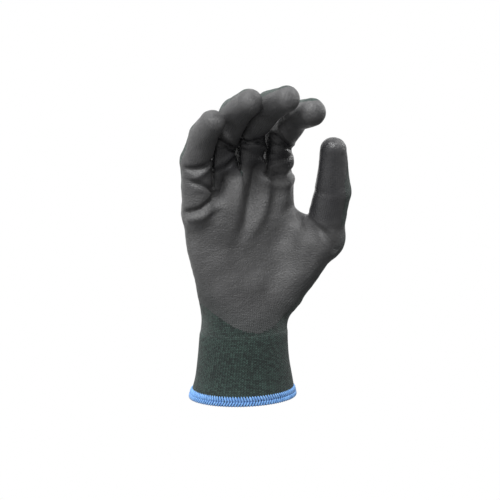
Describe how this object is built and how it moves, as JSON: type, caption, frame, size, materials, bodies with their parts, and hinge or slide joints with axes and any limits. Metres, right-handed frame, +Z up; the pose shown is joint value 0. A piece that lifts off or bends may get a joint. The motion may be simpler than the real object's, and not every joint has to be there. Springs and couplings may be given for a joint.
{
  "type": "cut resistant glove",
  "caption": "Knitted right-hand work glove with a dipped palm coating, ribbed cuff and overlocked hem, standing upright with lightly curled fingers.",
  "frame": {"origin": "centre of the wrist opening, in the plane of the hem's lower rim", "axes": "+Z up from the wrist to the fingers, +X to the thumb side, -Y the palm side"},
  "size_m": [0.1095, 0.0828, 0.2214],
  "materials": {
    "knit": "dark green heather rib knit",
    "coating": "semi-matt dipped coating",
    "hem_thread": "blue overlock thread",
    "elastic": "bare elastic thread"
  },
  "bodies": {
    "cuff": {"cuff_knit": "knit", "hem_overlock": "hem_thread", "cuff_elastic_1": "elastic", "cuff_elastic_2": "elastic", "cuff_elastic_3": "elastic", "cuff_elastic_4": "elastic", "wrist_fold": "knit"},
    "palm": {"palm_liner": "knit", "palm_coating": "coating", "little_base_fold": "knit", "ring_base_fold": "knit", "middle_base_fold": "knit", "index_base_fold": "knit", "thumb_base_fold": "knit"},
    "little_base": {"little_base_liner": "knit", "little_base_coating": "coating", "little_middle_fold": "knit"},
    "little_middle": {"little_middle_liner": "knit", "little_middle_coating": "coating", "little_end_fold": "knit"},
    "little_end": {"little_end_liner": "knit", "little_end_coating": "coating"},
    "ring_base": {"ring_base_liner": "knit", "ring_base_coating": "coating", "ring_middle_fold": "knit"},
    "ring_middle": {"ring_middle_liner": "knit", "ring_middle_coating": "coating", "ring_end_fold": "knit"},
    "ring_end": {"ring_end_liner": "knit", "ring_end_coating": "coating"},
    "middle_base": {"middle_base_liner": "knit", "middle_base_coating": "coating", "middle_middle_fold": "knit"},
    "middle_middle": {"middle_middle_liner": "knit", "middle_middle_coating": "coating", "middle_end_fold": "knit"},
    "middle_end": {"middle_end_liner": "knit", "middle_end_coating": "coating"},
    "index_base": {"index_base_liner": "knit", "index_base_coating": "coating", "index_middle_fold": "knit"},
    "index_middle": {"index_middle_liner": "knit", "index_middle_coating": "coating", "index_end_fold": "knit"},
    "index_end": {"index_end_liner": "knit", "index_end_coating": "coating"},
    "thumb_base": {"thumb_base_liner": "knit", "thumb_base_coating": "coating", "thumb_end_fold": "knit"},
    "thumb_end": {"thumb_end_liner": "knit", "thumb_end_coating": "coating"}
  },
  "joints": [
    {"name": "wrist_bend", "type": "hinge", "parent": "cuff", "child": "palm", "pos_m": [0.0018, 0, 0.058], "axis": [1, 0, 0], "range_deg": [-25, 25], "stiffness_Nm_per_rad": 0.6, "deforming": ["wrist_fold"]},
    {"name": "little_base_bend", "type": "hinge", "parent": "palm", "child": "little_base", "pos_m": [-0.03747, -0.00362, 0.15395], "axis": [0.9879, 0.1388, 0.0691], "range_deg": [-8, 30], "stiffness_Nm_per_rad": 0.08, "deforming": ["little_base_fold"]},
    {"name": "little_middle_bend", "type": "hinge", "parent": "little_base", "child": "little_middle", "pos_m": [-0.03857, -0.00421, 0.17091], "axis": [0.9879, 0.1388, 0.0691], "range_deg": [-30, 32], "stiffness_Nm_per_rad": 0.05, "deforming": ["little_middle_fold"]},
    {"name": "little_end_bend", "type": "hinge", "parent": "little_middle", "child": "little_end", "pos_m": [-0.03827, -0.01523, 0.18878], "axis": [0.9879, 0.1388, 0.0691], "range_deg": [-17, 22], "stiffness_Nm_per_rad": 0.03, "deforming": ["little_end_fold"]},
    {"name": "ring_base_bend", "type": "hinge", "parent": "palm", "child": "ring_base", "pos_m": [-0.01808, -0.00246, 0.16482], "axis": [0.9763, 0.1986, 0.0854], "range_deg": [-8, 30], "stiffness_Nm_per_rad": 0.08, "deforming": ["ring_base_fold"]},
    {"name": "ring_middle_bend", "type": "hinge", "parent": "ring_base", "child": "ring_middle", "pos_m": [-0.01934, -0.00441, 0.18368], "axis": [0.9763, 0.1986, 0.0854], "range_deg": [-34, 32], "stiffness_Nm_per_rad": 0.05, "deforming": ["ring_middle_fold"]},
    {"name": "ring_end_bend", "type": "hinge", "parent": "ring_middle", "child": "ring_end", "pos_m": [-0.01758, -0.02146, 0.20323], "axis": [0.9763, 0.1986, 0.0854], "range_deg": [-20, 22], "stiffness_Nm_per_rad": 0.03, "deforming": ["ring_end_fold"]},
    {"name": "middle_base_bend", "type": "hinge", "parent": "palm", "child": "middle_base", "pos_m": [0.00295, -0.00285, 0.16868], "axis": [0.9825, 0.1732, 0.0687], "range_deg": [-8, 30], "stiffness_Nm_per_rad": 0.08, "deforming": ["middle_base_fold"]},
    {"name": "middle_middle_bend", "type": "hinge", "parent": "middle_base", "child": "middle_middle", "pos_m": [0.00207, -0.00609, 0.18941], "axis": [0.9825, 0.1732, 0.0687], "range_deg": [-38, 32], "stiffness_Nm_per_rad": 0.05, "deforming": ["middle_middle_fold"]},
    {"name": "middle_end_bend", "type": "hinge", "parent": "middle_middle", "child": "middle_end", "pos_m": [0.00478, -0.02859, 0.2075], "axis": [0.9825, 0.1732, 0.0687], "range_deg": [-20, 22], "stiffness_Nm_per_rad": 0.03, "deforming": ["middle_end_fold"]},
    {"name": "index_base_bend", "type": "hinge", "parent": "palm", "child": "index_base", "pos_m": [0.02649, -0.0025, 0.16586], "axis": [0.9974, 0.0697, -0.0174], "range_deg": [-8, 22], "stiffness_Nm_per_rad": 0.08, "deforming": ["index_base_fold"]},
    {"name": "index_middle_bend", "type": "hinge", "parent": "index_base", "child": "index_middle", "pos_m": [0.02694, -0.00438, 0.18376], "axis": [0.9974, 0.0697, -0.0174], "range_deg": [-40, 24], "stiffness_Nm_per_rad": 0.05, "deforming": ["index_middle_fold"]},
    {"name": "index_end_bend", "type": "hinge", "parent": "index_middle", "child": "index_end", "pos_m": [0.02864, -0.02482, 0.19974], "axis": [0.9974, 0.0697, -0.0174], "range_deg": [-24, 22], "stiffness_Nm_per_rad": 0.03, "deforming": ["index_end_fold"]},
    {"name": "thumb_base_bend", "type": "hinge", "parent": "palm", "child": "thumb_base", "pos_m": [0.04872, -0.03279, 0.13029], "axis": [0.3597, 0.8993, 0.2486], "range_deg": [-20, 12], "stiffness_Nm_per_rad": 0.1, "deforming": ["thumb_base_fold"]},
    {"name": "thumb_end_bend", "type": "hinge", "parent": "thumb_base", "child": "thumb_end", "pos_m": [0.0495, -0.03801, 0.14803], "axis": [0.3597, 0.8993, 0.2486], "range_deg": [-35, 10], "stiffness_Nm_per_rad": 0.05, "deforming": ["thumb_end_fold"]}
  ]
}
